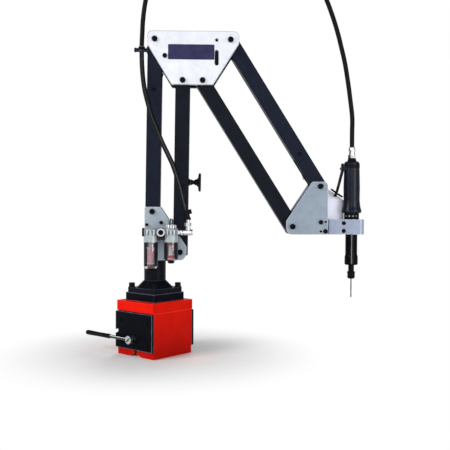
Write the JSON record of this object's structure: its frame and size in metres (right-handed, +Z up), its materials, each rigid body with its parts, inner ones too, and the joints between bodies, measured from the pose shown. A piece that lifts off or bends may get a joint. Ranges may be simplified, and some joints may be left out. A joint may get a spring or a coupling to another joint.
{
  "type": "arm-mounted air die grinder",
  "caption": "Straight air die grinder on a spring-balanced double-parallelogram arm with a switchable magnetic base, air filter, lubricator and hose.",
  "frame": {"origin": "centre of the magnetic base's underside, on the post axis", "axes": "+Z up along the post, +X from the post towards the tool in the arm plane, +Y away from the side with the air unit"},
  "size_m": [0.6758, 0.187, 1.045],
  "materials": {
    "red_enamel": "gloss red enamel",
    "black_enamel": "satin black enamel",
    "black_oxide_steel": "black oxide",
    "bright_steel": "ground",
    "chrome_plate": "polished",
    "grey_anodised": "grey anodised",
    "black_anodised": "black anodised",
    "satin_aluminium": "satin",
    "label_film": "matt film on foil",
    "bronze": "turned",
    "die_cast_zinc": "die cast",
    "clear_polycarbonate": "clear moulded",
    "sintered_filter": "sintered",
    "black_rubber": "smooth",
    "black_plastic": "moulded"
  },
  "bodies": {
    "base": {"base_housing": "red_enamel", "base_cap": "red_enamel", "front_end_plate": "black_enamel", "rear_end_plate": "black_enamel", "end_plate_screws": "black_oxide_steel", "flange_plate": "black_enamel", "post": "black_enamel", "flange_bolts": "black_oxide_steel", "swivel_bearings": "bright_steel"},
    "magnet_switch": {"magnet_core": "bright_steel", "lever_hub": "bright_steel", "lever_rod": "black_oxide_steel", "lever_grip": "black_rubber"},
    "yoke": {"yoke_block": "grey_anodised", "yoke_plate_front": "grey_anodised", "yoke_plate_rear": "grey_anodised", "yoke_bolts": "black_oxide_steel", "filter_head": "die_cast_zinc", "filter_bowl": "clear_polycarbonate", "filter_element": "sintered_filter", "lubricator_head": "die_cast_zinc", "lubricator_bowl": "clear_polycarbonate", "sight_dome": "clear_polycarbonate", "frl_manifold": "die_cast_zinc", "outlet_elbow": "chrome_plate", "hose_tail": "black_rubber", "hose_riser": "black_rubber"},
    "lower_outer_arm": {"lower_outer_tube": "black_anodised", "lower_outer_bushes": "bronze", "lower_spring": "black_oxide_steel", "hose_peg": "black_anodised", "hose_arch_a": "black_rubber"},
    "lower_inner_arm": {"lower_inner_tube": "black_anodised", "lower_inner_bushes": "bronze"},
    "knob": {"lock_knob": "black_plastic"},
    "elbow": {"elbow_plate_front": "satin_aluminium", "elbow_plate_rear": "satin_aluminium", "elbow_bolts": "black_oxide_steel", "name_plate": "label_film", "hose_arch_b": "black_rubber"},
    "upper_outer_arm": {"upper_outer_tube": "black_anodised", "upper_outer_bushes": "bronze", "upper_spring": "black_oxide_steel"},
    "upper_inner_arm": {"upper_inner_tube": "black_anodised", "upper_inner_bushes": "bronze"},
    "head": {"head_plate_front": "grey_anodised", "head_plate_rear": "grey_anodised", "head_bolts": "black_oxide_steel", "tool_bracket": "satin_aluminium", "grinder_grip": "black_anodised", "exhaust_collar": "black_oxide_steel", "nose_housing": "black_anodised", "air_inlet": "black_oxide_steel", "hose_swivel": "chrome_plate", "hose_arch_c": "black_rubber"},
    "spindle": {"rotor_shaft": "black_oxide_steel", "collet_nut": "black_oxide_steel", "burr": "bright_steel"},
    "throttle": {"throttle_lever": "black_oxide_steel"},
    "lock_off": {"lock_off_lever": "black_oxide_steel"}
  },
  "joints": [
    {"name": "swivel", "type": "hinge", "parent": "base", "child": "yoke", "pos_m": [0, 0, 0.2], "axis": [0, 0, 1], "continuous": true},
    {"name": "magnet_lever", "type": "hinge", "parent": "base", "child": "magnet_switch", "pos_m": [0, 0, 0.042], "axis": [0.6756, 0.7373, 0], "range_deg": [0, 90]},
    {"name": "lower_lift", "type": "hinge", "parent": "yoke", "child": "lower_outer_arm", "pos_m": [-0.005, 0, 0.34], "axis": [0, 1, 0], "range_deg": [-3, 30], "deforming": ["hose_riser"]},
    {"name": "lower_inner", "type": "hinge", "parent": "yoke", "child": "lower_inner_arm", "pos_m": [0.061, 0, 0.244], "axis": [0, 1, 0], "range_deg": [-3, 30]},
    {"name": "elbow_level", "type": "hinge", "parent": "lower_outer_arm", "child": "elbow", "pos_m": [-0.00004, 0, 0.74597], "axis": [0, 1, 0], "range_deg": [-30, 3], "deforming": ["lower_spring", "hose_arch_a"]},
    {"name": "upper_lift", "type": "hinge", "parent": "elbow", "child": "upper_outer_arm", "pos_m": [0.17896, 0, 0.74597], "axis": [0, -1, 0], "range_deg": [-22, 48], "deforming": ["hose_arch_b"]},
    {"name": "upper_inner", "type": "hinge", "parent": "elbow", "child": "upper_inner_arm", "pos_m": [0.11296, 0, 0.64997], "axis": [0, -1, 0], "range_deg": [-22, 48]},
    {"name": "head_level", "type": "hinge", "parent": "upper_outer_arm", "child": "head", "pos_m": [0.39411, 0, 0.40166], "axis": [0, -1, 0], "range_deg": [-48, 22], "deforming": ["upper_spring", "hose_arch_c"]},
    {"name": "knob_turn", "type": "hinge", "parent": "lower_inner_arm", "child": "knob", "pos_m": [0.06304, 0, 0.41099], "axis": [0.9999, 0, -0.0122], "range_deg": [-180, 180]},
    {"name": "spindle_spin", "type": "hinge", "parent": "head", "child": "spindle", "pos_m": [0.475, 0, 0.3], "axis": [0, 0, 1], "continuous": true},
    {"name": "throttle_squeeze", "type": "hinge", "parent": "head", "child": "throttle", "pos_m": [0.452, 0, 0.446], "axis": [0, -1, 0], "range_deg": [0, 8], "stiffness_Nm_per_rad": 1, "springref_deg": -6.88},
    {"name": "lock_off_turn", "type": "hinge", "parent": "throttle", "child": "lock_off", "pos_m": [0.4385, 0, 0.386], "axis": [0, 1, 0], "range_deg": [0, 48]}
  ],
  "couplings": [
    {"joint": "lower_inner", "follows": "lower_lift", "ratio": 1},
    {"joint": "elbow_level", "follows": "lower_lift", "ratio": -1},
    {"joint": "upper_inner", "follows": "upper_lift", "ratio": 1},
    {"joint": "head_level", "follows": "upper_lift", "ratio": -1},
    {"joint": "lock_off_turn", "follows": "throttle_squeeze", "ratio": 6}
  ]
}
